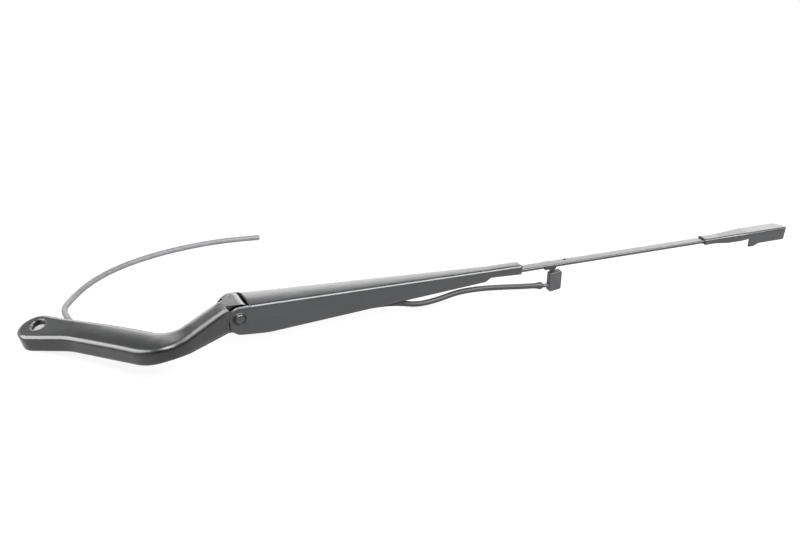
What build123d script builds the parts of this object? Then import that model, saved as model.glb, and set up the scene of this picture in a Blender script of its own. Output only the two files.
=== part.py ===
from build123d import *
from math import acos, atan2, degrees, radians, sin, tan
import os

os.makedirs("parts", exist_ok=True)

# A windscreen wiper arm with its washer hose, in millimetres.
# Origin: on the spindle axis, at the underside of the boss. X runs along the flat rod to the tip,
# Y is the hinge axis, Z is up. The spindle axis leans back, because the free arm hangs on its stop.

# Driving dimensions: spindle boss and cast head
spindle_tilt = 19.0
boss_radius = 14.8
boss_offset = 2.4
boss_height = 13.2
bore_radius = 5.0
bore_sink_radius = 6.8
bore_sink_angle = 82.0
head_edge_top = 2.6
head_edge_side = 1.5
skirt_wall = 3.2
skirt_roof = 4.2

# Driving dimensions: hinge
hinge_x = 137.5
hinge_y = -55.1
hinge_z = 29.4
hinge_point = Vector(hinge_x, hinge_y, hinge_z)
rivet_radius = 4.0
rivet_head_radius = 5.4
rivet_head_height = 1.6
running_clearance = 0.06
bush_wall = 1.4
barrel_radius = 9.0
crest_radius = 11.6
washer_thickness = 0.5
washer_radius = 8.2
side_gap = 0.3

# Driving dimensions: pressed channel
sheet = 1.2
channel_width = 25.4
channel_bend_radius = 2.5
channel_crown = 0.9
channel_length = 276.0
socket_length = 33.0
ear_radius = 10.0
ear_gap = 0.9
channel_back = 8.5
channel_top_back = 11.0
channel_top_front = 3.6
channel_depth_back = 17.2
channel_depth_front = 7.0

# Driving dimensions: rod and blade connector
rod_width = 9.0
rod_thickness = 2.8
rod_drop = 2.5
rod_tail_length = 76.0
rod_reach = 224.0
rod_tip_length = 24.0
grip_clearance = 0.03
rod_hole_radius = 1.1
rod_hole_distance = 53.5
connector_length = 110.0
connector_sheet = 1.3
connector_width = 15.4
connector_top = 1.3
connector_depth = 12.0
barb_depth = 14.6
end_slant = 6.0

# Driving dimensions: spring and its hook
anchor_x = 5.0
anchor_z = -10.6
anchor_radius = 2.0
link_thickness = 3.0
link_height = 7.0
link_length = 61.0
spring_wire = 1.5
spring_radius = 3.6
spring_turns = 22

# Driving dimensions: washer hose and nozzle
hose_diameter = 5.0
hose_clearance = 0.7
nozzle_width = 13.2
nozzle_depth = 6.0
nozzle_height = 19.6
nozzle_distance = 41.2
nozzle_y = -3.0
nozzle_z = -18.5
nozzle_lean = 6.0
nozzle_corner = 1.8
barb_radius = 1.7
clip_wall = 1.0
clip_length = 12.0
clip_distance = 33.0

# Planes: the spindle's own frame, and the arm's frame through the hinge
spindle_axis = Vector(0, 0, 1).rotate(Axis.Y, -spindle_tilt)
spindle_along = Vector(1, 0, 0).rotate(Axis.Y, -spindle_tilt)
spindle = Plane(origin=(0, 0, 0), x_dir=spindle_along, z_dir=spindle_axis)
spindle_side = Plane(origin=(0, 0, 0), x_dir=spindle_along, z_dir=(0, -1, 0))
arm_top = Plane(origin=hinge_point)
arm_side = Plane(origin=hinge_point, x_dir=(1, 0, 0), z_dir=(0, -1, 0))
hinge_in_spindle = spindle.to_local_coords(hinge_point)

# Derived sizes
bush_radius = rivet_radius + running_clearance + bush_wall
ear_inner = channel_width / 2 - sheet
barrel_half = ear_inner - side_gap - washer_thickness
tongue_half = barrel_half - 0.5
rod_top = rod_thickness / 2 - rod_drop
rod_bottom = -rod_thickness / 2 - rod_drop
socket_start = channel_length - socket_length
socket_width = rod_width + 2 * (sheet + grip_clearance)
hose_radius = hose_diameter / 2
rod_tail = channel_length - rod_tail_length
connector_start = channel_length + rod_reach
connector_end = connector_start + connector_length
rod_tip = connector_start + rod_tip_length
rod_hole_x = channel_length + rod_hole_distance
nozzle_x = channel_length + nozzle_distance
clip_x = channel_length + clip_distance
reach = 2 * (hinge_x + boss_radius)

# Head outline in the spindle plane: the boss, a limb towards the near side, a bend, and the hinge
boss_centre = Vector(-boss_offset, 0, 0)
limb_end = hinge_in_spindle.X - 5.6
near_waist = (13.5, -34.5)
near_elbow = (68.3, -112.4)
near_end = (limb_end, hinge_in_spindle.Y - 15.0)
near_radii = [60, 30]
far_waist = (19.2, -5.0)
far_elbow = (82.2, -84.7)
far_end = (limb_end, hinge_in_spindle.Y + 3.0)
far_radii = [50, 17]

# Head heights along the limb, in the spindle's own frame
bend_x = 70.0
bend_radius = 260.0
keel_x = 78.5
keel_radius = 60.0
shoulder_radius = 50.0
limb_end_keel = hinge_in_spindle.Z - 5.9


def tangent_point(point, centre, radius, side):
    """Where a straight edge from a point touches a circle, on the given side (+1 or -1)."""
    away = Vector(*point) - centre
    turn = degrees(atan2(away.Y, away.X)) + side * degrees(acos(radius / away.length))
    return centre + Vector(radius, 0, 0).rotate(Axis.Z, turn)


# Crest: the limb's top bends at the shoulder and runs on to a curve round the hinge axis
hinge_side = Vector(hinge_in_spindle.X, hinge_in_spindle.Z, 0)
shoulder = hinge_side + Vector(-11.2, 16.5, 0)
crest = tangent_point(shoulder, hinge_side, crest_radius, -1)
limb_end_top = shoulder.Y + (crest.Y - shoulder.Y) * (limb_end - shoulder.X) / (crest.X - shoulder.X)


def head_plan(inset):
    """Plan of the boss and limb in the spindle plane, drawn in by a wall where inset is not zero."""
    with BuildSketch(spindle) as plan:
        with BuildLine():
            near = FilletPolyline(
                tangent_point(near_waist, boss_centre, boss_radius, -1),
                near_waist,
                near_elbow,
                near_end,
                radius=near_radii,
            )
            far = FilletPolyline(
                tangent_point(far_waist, boss_centre, boss_radius, 1),
                far_waist,
                far_elbow,
                far_end,
                radius=far_radii,
            )
            Line(near @ 0, far @ 0)
            Line(near @ 1, far @ 1)
        make_face()
        with Locations(boss_centre):
            Circle(boss_radius)
        if inset:
            offset(amount=-inset, mode=Mode.REPLACE)
    return plan.sketch


def head_profile(roof_drop, floor_drop):
    """Side view of the boss and limb, with its top and its underside lowered by the given amounts."""
    with BuildSketch(spindle_side) as profile:
        with BuildLine():
            top = FilletPolyline(
                (-2 * boss_radius, boss_height - roof_drop),
                (bend_x, boss_height - roof_drop),
                (shoulder.X, shoulder.Y - roof_drop),
                (limb_end, limb_end_top - roof_drop),
                radius=[bend_radius, shoulder_radius],
            )
            floor = FilletPolyline(
                (-2 * boss_radius, -floor_drop),
                (keel_x, -floor_drop),
                (limb_end, limb_end_keel - floor_drop),
                radius=keel_radius,
            )
            Line(top @ 0, floor @ 0)
            Line(top @ 1, floor @ 1)
        make_face()
    return profile.sketch


# Skirt pocket: the hollow under the cast head
with BuildPart() as skirt_pocket:
    extrude(head_plan(skirt_wall), amount=reach, both=True)
    extrude(head_profile(skirt_roof, boss_height), amount=reach, both=True, mode=Mode.INTERSECT)
    with BuildSketch(spindle):
        with Locations((boss_radius + skirt_wall, 0)):
            Rectangle(
                hinge_in_spindle.X - 2 * barrel_radius - boss_radius - skirt_wall,
                2 * reach,
                align=(Align.MIN, Align.CENTER),
            )
    extrude(amount=reach, both=True, mode=Mode.INTERSECT)

# Ear recess: the room cut away from the limb's flanks for the channel's ears to turn in
recess_radius = ear_radius + ear_gap
with BuildPart() as ear_recess:
    for side in (-1, 1):
        with BuildSketch(arm_side.offset(side * tongue_half)):
            Circle(recess_radius)
            with BuildLine():
                Polyline(
                    (0, 0),
                    Vector(recess_radius, 0, 0).rotate(Axis.Z, 135),
                    Vector(60, 0, 0).rotate(Axis.Z, 135),
                    (60, 60),
                    (60, -60),
                    (8.6, -60),
                    (-10.3, -3.3),
                    (0, 0),
                )
            make_face()
        extrude(amount=side * 40)

# Hinge tongue: the end of the limb that goes in between the ears and rounds down over the barrel
tongue_end = hinge_in_spindle.X + crest_radius + 1
with BuildPart() as hinge_tongue:
    with BuildSketch(spindle):
        with BuildLine():
            Polyline(
                (limb_end, hinge_in_spindle.Y - tongue_half),
                (tongue_end, hinge_in_spindle.Y - tongue_half),
                (tongue_end, hinge_in_spindle.Y + tongue_half),
                (hinge_in_spindle.X + 0.5 * barrel_radius, hinge_in_spindle.Y + tongue_half),
                far_end,
                close=True,
            )
        make_face()
    extrude(amount=reach, both=True)
    with BuildSketch(spindle_side):
        with BuildLine():
            Line((limb_end, limb_end_top), crest)
            crest_turn = degrees(atan2(crest.Y - hinge_side.Y, crest.X - hinge_side.X))
            nose = CenterArc(hinge_side, crest_radius, crest_turn, -crest_turn)
            Polyline(
                nose @ 1,
                hinge_side + Vector(0.7 * barrel_radius, limb_end_keel - hinge_side.Y),
                (limb_end, limb_end_keel),
                (limb_end, limb_end_top),
            )
        make_face()
    extrude(amount=reach, both=True, mode=Mode.INTERSECT)

# Cast head: boss, limb and hinge barrel in one die casting
hose_exit_x = 25.5
with BuildPart() as arm_head:
    extrude(head_plan(0), amount=reach, both=True)
    extrude(head_profile(0, 0), amount=reach, both=True, mode=Mode.INTERSECT)
    # Bevel all round the top, from one side of the limb's end to the other
    top_face = arm_head.faces().filter_by(lambda f: f.normal_at().dot(spindle_axis) > 0.999).sort_by(Axis.X)[0]
    boss_edge = top_face.edges().filter_by(GeomType.CIRCLE).sort_by(Edge.length)[-1]
    chamfer(boss_edge, length=head_edge_top, length2=head_edge_side, reference=top_face)
    add(ear_recess.part, mode=Mode.SUBTRACT)
    add(skirt_pocket.part, mode=Mode.SUBTRACT)
    add(hinge_tongue.part)
    with BuildSketch(arm_side):
        Circle(barrel_radius)
        with Locations((anchor_x, anchor_z)):
            Circle(anchor_radius + 2.5)
        make_hull()
    extrude(amount=barrel_half, both=True)
    # Spindle bore with its countersink
    with BuildSketch(spindle):
        Circle(bore_radius)
    extrude(amount=boss_height, mode=Mode.SUBTRACT)
    sink_depth = (bore_sink_radius - bore_radius) / tan(radians(bore_sink_angle / 2))
    with BuildSketch(spindle.offset(boss_height - sink_depth)):
        Circle(bore_radius)
    with BuildSketch(spindle.offset(boss_height)):
        Circle(bore_sink_radius)
    loft(mode=Mode.SUBTRACT)
    # Bush hole, anchor pin hole and the slot that the spring's hook sits in
    with BuildSketch(arm_side):
        Circle(bush_radius)
        with Locations((anchor_x, anchor_z)):
            Circle(anchor_radius)
    extrude(amount=barrel_half, both=True, mode=Mode.SUBTRACT)
    with BuildSketch(arm_side):
        with Locations((anchor_x, anchor_z)):
            Circle(link_height / 2 + 0.6)
            Rectangle(30, link_height + 1.2, align=(Align.MIN, Align.CENTER))
            Rectangle(link_height + 1.2, 30, align=(Align.CENTER, Align.MAX))
    extrude(amount=link_thickness / 2 + 0.6, both=True, mode=Mode.SUBTRACT)
    # Rounded notch in the far skirt, where the hose leaves
    with BuildSketch(spindle_side):
        with Locations((hose_exit_x, hose_radius + hose_clearance)):
            Circle(hose_radius + hose_clearance)
            Rectangle(2 * (hose_radius + hose_clearance), 20, align=(Align.CENTER, Align.MAX))
    extrude(amount=24, mode=Mode.SUBTRACT)
arm_head.part.label = "arm_head"
export_step(arm_head.part, "parts/arm_head.step")

# Hinge bush: a plain bearing pressed into the barrel
with BuildPart() as pivot_bush:
    with BuildSketch(arm_side):
        Circle(bush_radius)
        Circle(rivet_radius + running_clearance, mode=Mode.SUBTRACT)
    extrude(amount=barrel_half, both=True)
pivot_bush.part.label = "pivot_bush"
export_step(pivot_bush.part, "parts/pivot_bush.step")

# Hinge washers: one thin ring against each end of the barrel
with BuildPart() as hinge_washers:
    for side in (-1, 1):
        with BuildSketch(arm_side.offset(side * barrel_half)):
            Circle(washer_radius)
            Circle(rivet_radius + running_clearance, mode=Mode.SUBTRACT)
        extrude(amount=side * washer_thickness)
hinge_washers.part.label = "hinge_washers"
export_step(hinge_washers.part, "parts/hinge_washers.step")

# Anchor pin: pressed across the barrel's lower lobe, the spring pulls on it
with BuildPart() as anchor_pin:
    with BuildSketch(arm_side):
        with Locations((anchor_x, anchor_z)):
            Circle(anchor_radius)
    extrude(amount=barrel_half, both=True)
anchor_pin.part.label = "anchor_pin"
export_step(anchor_pin.part, "parts/anchor_pin.step")


# Channel sections: distance from the hinge, outer width and height of the top
channel_sections = [
    (channel_back, channel_width, channel_top_back),
    (socket_start, socket_width, channel_top_front + 0.3),
    (channel_length, socket_width, channel_top_front),
]


def channel_sweep(inset, bend):
    """Solid through the channel's sections, with its walls and top moved in by inset."""
    with BuildPart() as sweep_body:
        for along, width, top in channel_sections:
            section = Plane(origin=hinge_point + Vector(along, 0, 0), x_dir=(0, 1, 0), z_dir=(1, 0, 0))
            half = width / 2 - inset
            shoulder = top - inset - channel_crown * (width / channel_width) ** 2
            with BuildSketch(section) as outline:
                with BuildLine():
                    ThreePointArc((-half, shoulder), (0, top - inset), (half, shoulder))
                    Polyline((half, shoulder), (half, -60), (-half, -60), (-half, shoulder))
                make_face()
                fillet(outline.vertices().sort_by(Axis.Y)[-2:], radius=bend)
        loft(ruled=True)
    return sweep_body.part


# Pressed channel: one folded steel sheet, open below, with two ears for the hinge
with BuildPart() as arm_channel:
    add(channel_sweep(0, channel_bend_radius))
    with BuildSketch(arm_side):
        Circle(ear_radius)
        with Locations((channel_back, ear_radius)):
            Rectangle(channel_back, ear_radius, align=(Align.MAX, Align.MAX))
        with Locations((channel_back, 0)):
            Rectangle(channel_back + ear_radius, 40, align=(Align.MAX, Align.MAX))
    extrude(amount=channel_width / 2, both=True)
    add(channel_sweep(sheet, channel_bend_radius - sheet), mode=Mode.SUBTRACT)
    with BuildSketch(arm_side):
        with Locations((channel_back, 0)):
            Rectangle(60, 100, align=(Align.MAX, Align.CENTER))
    extrude(amount=ear_inner, both=True, mode=Mode.SUBTRACT)
    # Lower edge of the walls, with the step up to the rod's socket
    with BuildSketch(arm_side):
        with BuildLine():
            lower = FilletPolyline(
                (-ear_radius, 2),
                (-6.3, -10.8),
                (0.2, -14.8),
                (26, -channel_depth_back),
                (socket_start - 6, -channel_depth_front),
                (socket_start, rod_bottom + 0.3),
                (channel_length + 1, rod_bottom - 1.2),
                radius=[6, 8, 60, 3, 3],
            )
            Polyline(lower @ 1, (channel_length + 1, -70), (-30, -70), (-30, 2), lower @ 0)
        make_face()
    extrude(amount=60, both=True, mode=Mode.SUBTRACT)
    with BuildSketch(arm_side):
        Circle(rivet_radius)
    extrude(amount=60, both=True, mode=Mode.SUBTRACT)
arm_channel.part.label = "arm_channel"
export_step(arm_channel.part, "parts/arm_channel.step")

# Hinge rivet: shank through both ears, with a domed head on each side
with BuildPart() as hinge_rivet:
    with BuildSketch(arm_side):
        Circle(rivet_radius)
    extrude(amount=channel_width / 2, both=True)
    for side in (-1, 1):
        with BuildSketch(arm_side.offset(side * channel_width / 2)):
            Circle(rivet_head_radius)
        extrude(amount=side * rivet_head_height)
    ends = hinge_rivet.faces().sort_by(Axis.Y)
    chamfer(ends[0].edges() + ends[-1].edges(), length=0.7 * rivet_head_height)
hinge_rivet.part.label = "hinge_rivet"
export_step(hinge_rivet.part, "parts/hinge_rivet.step")

# Flat rod: a steel bar, gripped in the channel's socket, with an eye for the spring at its tail
rod_eye_x = rod_tail + 4.0
rod_eye_radius = 1.6
with BuildPart() as arm_rod:
    with BuildSketch(arm_top.offset(rod_bottom)):
        with Locations((rod_tail, 0)):
            Rectangle(rod_tip - rod_tail, rod_width, align=(Align.MIN, Align.CENTER))
        with Locations((rod_eye_x, 0)):
            Circle(rod_eye_radius, mode=Mode.SUBTRACT)
        with Locations((rod_hole_x, rod_width / 4)):
            Circle(rod_hole_radius, mode=Mode.SUBTRACT)
    extrude(amount=rod_thickness)
    long_edges = arm_rod.edges().filter_by(lambda e: e.length > 100)
    fillet(long_edges, radius=0.5)
arm_rod.part.label = "arm_rod"
export_step(arm_rod.part, "parts/arm_rod.step")

# Spring hook: a flat strap from the anchor pin to the spring
hook_end_x = anchor_x + link_length
rod_mid = -rod_drop
hook_end_z = anchor_z + (rod_mid - anchor_z) * link_length / (rod_eye_x - anchor_x)
with BuildPart() as spring_hook:
    with BuildSketch(arm_side):
        with Locations((anchor_x, anchor_z), (hook_end_x, hook_end_z)):
            Circle(link_height / 2)
        make_hull()
        with Locations((anchor_x, anchor_z)):
            Circle(anchor_radius + running_clearance, mode=Mode.SUBTRACT)
        with Locations((hook_end_x, hook_end_z)):
            Circle(rod_eye_radius, mode=Mode.SUBTRACT)
    extrude(amount=link_thickness / 2, both=True)
spring_hook.part.label = "spring_hook"
export_step(spring_hook.part, "parts/spring_hook.step")

# Tension spring: a close-wound coil with an eye at each end
wire_radius = spring_wire / 2
eye_radius = 3.0
pull_start = Vector(hook_end_x, 0, hook_end_z)
pull_end = Vector(rod_eye_x, 0, rod_mid)
pull = (pull_end - pull_start).normalized()
coil_start = pull_start + pull * (2 * eye_radius + 1)
coil_end = pull_end - pull * (2 * eye_radius + 1)
coil_pitch = (coil_end - coil_start).length / spring_turns
coil_plane = Plane(origin=hinge_point + coil_start, x_dir=pull, z_dir=(0, -1, 0))
front_eye = Plane(origin=hinge_point + pull_start + pull * eye_radius, x_dir=pull, z_dir=pull.cross(Vector(0, 1, 0)))
rear_eye = Plane(origin=hinge_point + pull_end - pull * eye_radius, x_dir=pull, z_dir=(0, -1, 0))
with BuildPart() as tension_spring:
    with BuildSketch(coil_plane):
        with BuildLine():
            groove = (0, spring_radius)
            for turn in range(spring_turns):
                crest = ((turn + 0.5) * coil_pitch, spring_radius + wire_radius)
                Line(groove, crest)
                groove = ((turn + 1) * coil_pitch, spring_radius)
                Line(crest, groove)
            Polyline(groove, (groove[0], 0), (0, 0), (0, spring_radius))
        make_face()
    revolve(axis=Axis(coil_plane.origin, pull))
    for eye, side in ((front_eye, 1), (rear_eye, -1)):
        with BuildSketch(eye):
            Circle(eye_radius + wire_radius)
            Circle(eye_radius - wire_radius, mode=Mode.SUBTRACT)
        extrude(amount=0.7 * wire_radius, both=True)
        with BuildSketch(Plane(origin=eye.origin + pull * side * (eye_radius - 0.2), z_dir=pull * side)):
            Circle(wire_radius)
        extrude(amount=2)
tension_spring.part.label = "tension_spring"
export_step(tension_spring.part, "parts/tension_spring.step")

# Connector sections: distance from the hinge, outer width and height of the top
crimp_width = rod_width + 2 * (connector_sheet + grip_clearance)
crimp_top = rod_top + grip_clearance + connector_sheet
crimp_bottom = rod_bottom - grip_clearance - connector_sheet
crimp_end = connector_start + 21.0
flare_end = connector_start + 56.0
barb_x = connector_start + 59.8
connector_sections = [
    (connector_start, crimp_width, crimp_top),
    (crimp_end, crimp_width, crimp_top),
    (flare_end, connector_width, connector_top),
    (connector_end, connector_width, connector_top),
]


def connector_sweep(inset, bend):
    """Solid through the connector's sections, with its walls and top moved in by inset."""
    with BuildPart() as sweep_body:
        for along, width, top in connector_sections:
            section = Plane(origin=hinge_point + Vector(along, 0, 0), x_dir=(0, 1, 0), z_dir=(1, 0, 0))
            with BuildSketch(section) as outline:
                with Locations((0, top - inset)):
                    Rectangle(width - 2 * inset, 40, align=(Align.CENTER, Align.MAX))
                fillet(outline.vertices().sort_by(Axis.Y)[-2:], radius=bend)
        loft(ruled=True)
    return sweep_body.part


# Blade connector: folded sheet, crimped on the rod, flaring to an open channel with hooked walls
with BuildPart() as blade_connector:
    add(connector_sweep(0, 1.5 * connector_sheet))
    add(connector_sweep(connector_sheet, 0.5 * connector_sheet), mode=Mode.SUBTRACT)
    with BuildSketch(arm_side):
        with BuildLine():
            lower = FilletPolyline(
                (connector_start - 1, crimp_bottom),
                (connector_start + 12, crimp_bottom),
                (connector_start + 31, -6.8),
                (connector_start + 48, -6.5),
                (barb_x, -5.2),
                (barb_x + 1.0, -barb_depth),
                (barb_x + 8, -barb_depth),
                (barb_x + 14.5, -connector_depth),
                (connector_end + 1, -connector_depth),
                radius=[20, 20, 12, 0.6, 0.8, 1.5, 3],
            )
            Polyline(lower @ 1, (connector_end + 1, -60), (connector_start - 1, -60), lower @ 0)
        make_face()
    extrude(amount=30, both=True, mode=Mode.SUBTRACT)
    # Crimp flanges folded under the rod, with a seam between them
    with BuildSketch(arm_top.offset(crimp_bottom)):
        for side in (-1, 1):
            with Locations((connector_start, side * 0.4)):
                Rectangle(
                    crimp_end - connector_start - 6,
                    crimp_width / 2 - 0.4,
                    align=(Align.MIN, Align.MIN if side > 0 else Align.MAX),
                )
    extrude(amount=connector_sheet)
    # Slanted end, cut back on the far side
    with BuildSketch(arm_top):
        with BuildLine():
            Polyline(
                (connector_end - end_slant, connector_width),
                (connector_end - end_slant, connector_width / 2),
                (connector_end, 0),
                (connector_end + 20, 0),
                (connector_end + 20, connector_width),
                close=True,
            )
        make_face()
    extrude(amount=40, both=True, mode=Mode.SUBTRACT)
    # Turned lip at the end of the top
    with BuildSketch(arm_top.offset(connector_top - connector_sheet)):
        with Locations((connector_end, 0)):
            Rectangle(1.4, connector_width / 2 - 1.5, align=(Align.MIN, Align.MAX))
    extrude(amount=connector_sheet)
blade_connector.part.label = "blade_connector"
export_step(blade_connector.part, "parts/blade_connector.step")

# Nozzle clip: a plastic saddle pushed on the rod from below, with a stalk down to the nozzle
nozzle_up = Vector(0, 0, 1).rotate(Axis.Y, -nozzle_lean)
nozzle_along = Vector(1, 0, 0).rotate(Axis.Y, -nozzle_lean)
nozzle_centre = hinge_point + Vector(nozzle_x, nozzle_y, nozzle_z)
nozzle_plane = Plane(origin=nozzle_centre, x_dir=nozzle_along, z_dir=nozzle_up)
stalk_x = -nozzle_width / 2 + 3.4
stalk_width = 3.6
with BuildPart() as nozzle_clip:
    with BuildSketch(arm_top.offset(rod_bottom - clip_wall)):
        with Locations((clip_x, 0)):
            Rectangle(clip_length, rod_width + 2 * clip_wall)
    extrude(amount=clip_wall + 0.8 * rod_thickness)
    with BuildSketch(arm_top.offset(rod_bottom)):
        with Locations((clip_x, 0)):
            Rectangle(clip_length, rod_width)
    extrude(amount=rod_thickness, mode=Mode.SUBTRACT)
    with BuildSketch(nozzle_plane.offset(nozzle_height / 2)):
        with Locations((stalk_x, 0)):
            Rectangle(stalk_width, stalk_width)
    extrude(until=Until.NEXT)
nozzle_clip.part.label = "nozzle_clip"
export_step(nozzle_clip.part, "parts/nozzle_clip.step")

# Washer nozzle: a moulded block with a hose barb low on its side and two jets below
barb_z = -0.22 * nozzle_height
barb_length = 7.5
barb_out = Vector(-1, 0, 0.1).normalized()
with BuildPart() as washer_nozzle:
    with BuildSketch(nozzle_plane):
        RectangleRounded(nozzle_width, nozzle_depth, nozzle_corner)
    extrude(amount=nozzle_height / 2, both=True)
    caps = washer_nozzle.faces().filter_by(lambda f: abs(f.normal_at().dot(nozzle_up)) > 0.9)
    chamfer(caps.edges(), length=0.5 * nozzle_corner)
    barb_root = nozzle_centre + nozzle_up * barb_z - nozzle_along * (nozzle_width / 2)
    barb_plane = Plane(origin=barb_root, z_dir=barb_out)
    with BuildSketch(barb_plane.offset(-1)):
        Circle(barb_radius)
    extrude(amount=barb_length + 1)
    for side in (-1, 1):
        with BuildSketch(nozzle_plane.offset(-nozzle_height / 2)):
            with Locations((side * nozzle_width / 5, 0)):
                Circle(0.6)
        extrude(amount=3, mode=Mode.SUBTRACT)
washer_nozzle.part.label = "washer_nozzle"
export_step(washer_nozzle.part, "parts/washer_nozzle.step")


def cord_radii(points):
    """Bend radius at each inner point of a cord's route: just under half of the shorter run."""
    radii = []
    for before, here, after in zip(points, points[1:], points[2:]):
        run_in = here - before
        run_out = after - here
        half_turn = radians(run_in.get_angle(run_out)) / 2
        radii.append(0.45 * min(run_in.length, run_out.length) / tan(half_turn))
    return radii


# Hose lead: from under the hinge through the channel to the nozzle's barb
lead_end = barb_root + barb_out * barb_length
lead_route = [
    hinge_point + Vector(20, 4.0, -18.8),
    hinge_point + Vector(45, 2.4, -18.0),
    hinge_point + Vector(74, -2.4, -16.0),
    hinge_point + Vector(102, -3.4, -14.2),
    hinge_point + Vector(128, -3.3, -13.2),
    hinge_point + Vector(socket_start - 94, -3.0, -15.0),
    hinge_point + Vector(socket_start - 73, -3.0, -20.4),
    hinge_point + Vector(socket_start - 53, -2.9, -18.8),
    hinge_point + Vector(socket_start - 33, -2.8, -14.4),
    hinge_point + Vector(socket_start - 9, -2.6, -14.6),
    hinge_point + Vector(socket_start + 15, nozzle_y, -17.2),
    lead_end + barb_out * 21,
    lead_end,
]
lead_radii = cord_radii(lead_route)
with BuildPart() as hose_lead:
    with BuildLine() as lead_path:
        FilletPolyline(*lead_route, radius=lead_radii)
    with BuildSketch(Plane(origin=lead_route[0], z_dir=lead_route[1] - lead_route[0])):
        Circle(hose_radius)
    sweep()
hose_lead.part.label = "hose_lead"
export_step(hose_lead.part, "parts/hose_lead.step")
print("lead radii", [round(r) for r in lead_radii])
print("lead volume ratio", hose_lead.part.volume / (lead_path.wire().length * 3.14159 * hose_radius**2))

# Hose tail: the same hose under the hinge and the cast head, out below the far skirt, then lying free
floor_z = -(boss_radius + boss_offset) * sin(radians(spindle_tilt))
lie_z = floor_z + hose_radius
tail_route = [
    hinge_point + Vector(19.6, 4.0, -18.8),
    hinge_point + Vector(-2, 4.0, -19.0),
    spindle.from_local_coords(Vector(111, -75, -11.5)),
    spindle.from_local_coords(Vector(96, -84.5, -4.2)),
    spindle.from_local_coords(Vector(80, -93, 0.6)),
    spindle.from_local_coords(Vector(64, -86, 2.9)),
    spindle.from_local_coords(Vector(46.5, -64, 2.9)),
    spindle.from_local_coords(Vector(29.0, -41, 2.9)),
    spindle.from_local_coords(Vector(hose_exit_x - 0.3, -18, 2.9)),
    Vector(22.8, 8, 7.0),
    Vector(22.0, 36, 2.2),
    Vector(33.5, 61, lie_z),
    Vector(55, 86, lie_z),
    Vector(84, 107, lie_z),
    Vector(117, 121.5, lie_z),
    Vector(151, 130.5, lie_z),
    Vector(185, 135, lie_z),
    Vector(215, 134.5, lie_z),
    Vector(234.5, 132, lie_z),
]
tail_radii = cord_radii(tail_route)
with BuildPart() as hose_tail:
    with BuildLine() as tail_path:
        FilletPolyline(*tail_route, radius=tail_radii)
    with BuildSketch(Plane(origin=tail_route[0], z_dir=tail_route[1] - tail_route[0])):
        Circle(hose_radius)
    sweep()
hose_tail.part.label = "hose_tail"
export_step(hose_tail.part, "parts/hose_tail.step")
print("tail radii", [round(r) for r in tail_radii])
print("tail volume ratio", hose_tail.part.volume / (tail_path.wire().length * 3.14159 * hose_radius**2))
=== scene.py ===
import math

import bmesh
import bpy
from mathutils import Matrix, Vector


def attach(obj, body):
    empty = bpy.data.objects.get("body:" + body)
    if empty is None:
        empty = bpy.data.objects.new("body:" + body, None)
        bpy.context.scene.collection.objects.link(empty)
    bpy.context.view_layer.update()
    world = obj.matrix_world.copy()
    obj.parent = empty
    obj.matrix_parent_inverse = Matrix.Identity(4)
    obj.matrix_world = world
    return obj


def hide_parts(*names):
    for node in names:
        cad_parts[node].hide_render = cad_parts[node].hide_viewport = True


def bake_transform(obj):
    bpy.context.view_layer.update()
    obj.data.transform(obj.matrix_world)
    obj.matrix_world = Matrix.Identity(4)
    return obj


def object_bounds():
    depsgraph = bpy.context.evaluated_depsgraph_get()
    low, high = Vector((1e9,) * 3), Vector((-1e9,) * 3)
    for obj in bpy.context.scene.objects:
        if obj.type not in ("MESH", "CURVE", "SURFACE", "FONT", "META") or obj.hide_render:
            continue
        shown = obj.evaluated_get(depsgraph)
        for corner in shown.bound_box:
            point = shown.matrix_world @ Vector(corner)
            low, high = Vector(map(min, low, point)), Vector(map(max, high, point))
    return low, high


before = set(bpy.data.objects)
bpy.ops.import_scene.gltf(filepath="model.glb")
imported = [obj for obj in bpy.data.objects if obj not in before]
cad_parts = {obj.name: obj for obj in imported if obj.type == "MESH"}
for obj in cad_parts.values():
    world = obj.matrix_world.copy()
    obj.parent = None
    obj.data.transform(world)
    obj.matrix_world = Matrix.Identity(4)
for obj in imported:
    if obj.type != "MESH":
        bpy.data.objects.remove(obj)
cad_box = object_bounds()
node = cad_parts

# Cast head: one zinc die casting with the spindle boss, the cranked limb and the hinge barrel.
# It is tumbled, then dipped in black electrocoat, which bakes to a smooth satin skin over a
# faintly uneven casting. The boss is clamped on the wiper spindle by a nut.


def linear(colour):
    """An sRGB hex colour as the linear RGBA that shaders take."""
    parts = [int(colour[i : i + 2], 16) / 255 for i in (1, 3, 5)]
    return [p / 12.92 if p <= 0.04045 else ((p + 0.055) / 1.055) ** 2.4 for p in parts] + [1.0]


def add_node(material, kind, settings=None, links=None, **properties):
    """Adds one shader node, with socket values in settings and incoming sockets in links."""
    new = material.node_tree.nodes.new(kind)
    for key, value in properties.items():
        setattr(new, key, value)
    for key, value in (settings or {}).items():
        new.inputs[key].default_value = value
    for key, source in (links or {}).items():
        material.node_tree.links.new(source, new.inputs[key])
    return new


def start_material(name):
    """An empty node material, with the node that its surface goes into."""
    material = bpy.data.materials.new(name)
    material.use_nodes = True
    material.node_tree.nodes.clear()
    return material, add_node(material, "ShaderNodeOutputMaterial")


def coat_piece(piece, material):
    """Gives a piece, or a node carried over from the solid model, one finish all over."""
    piece.data.materials.clear()
    piece.data.materials.append(material)


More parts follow.
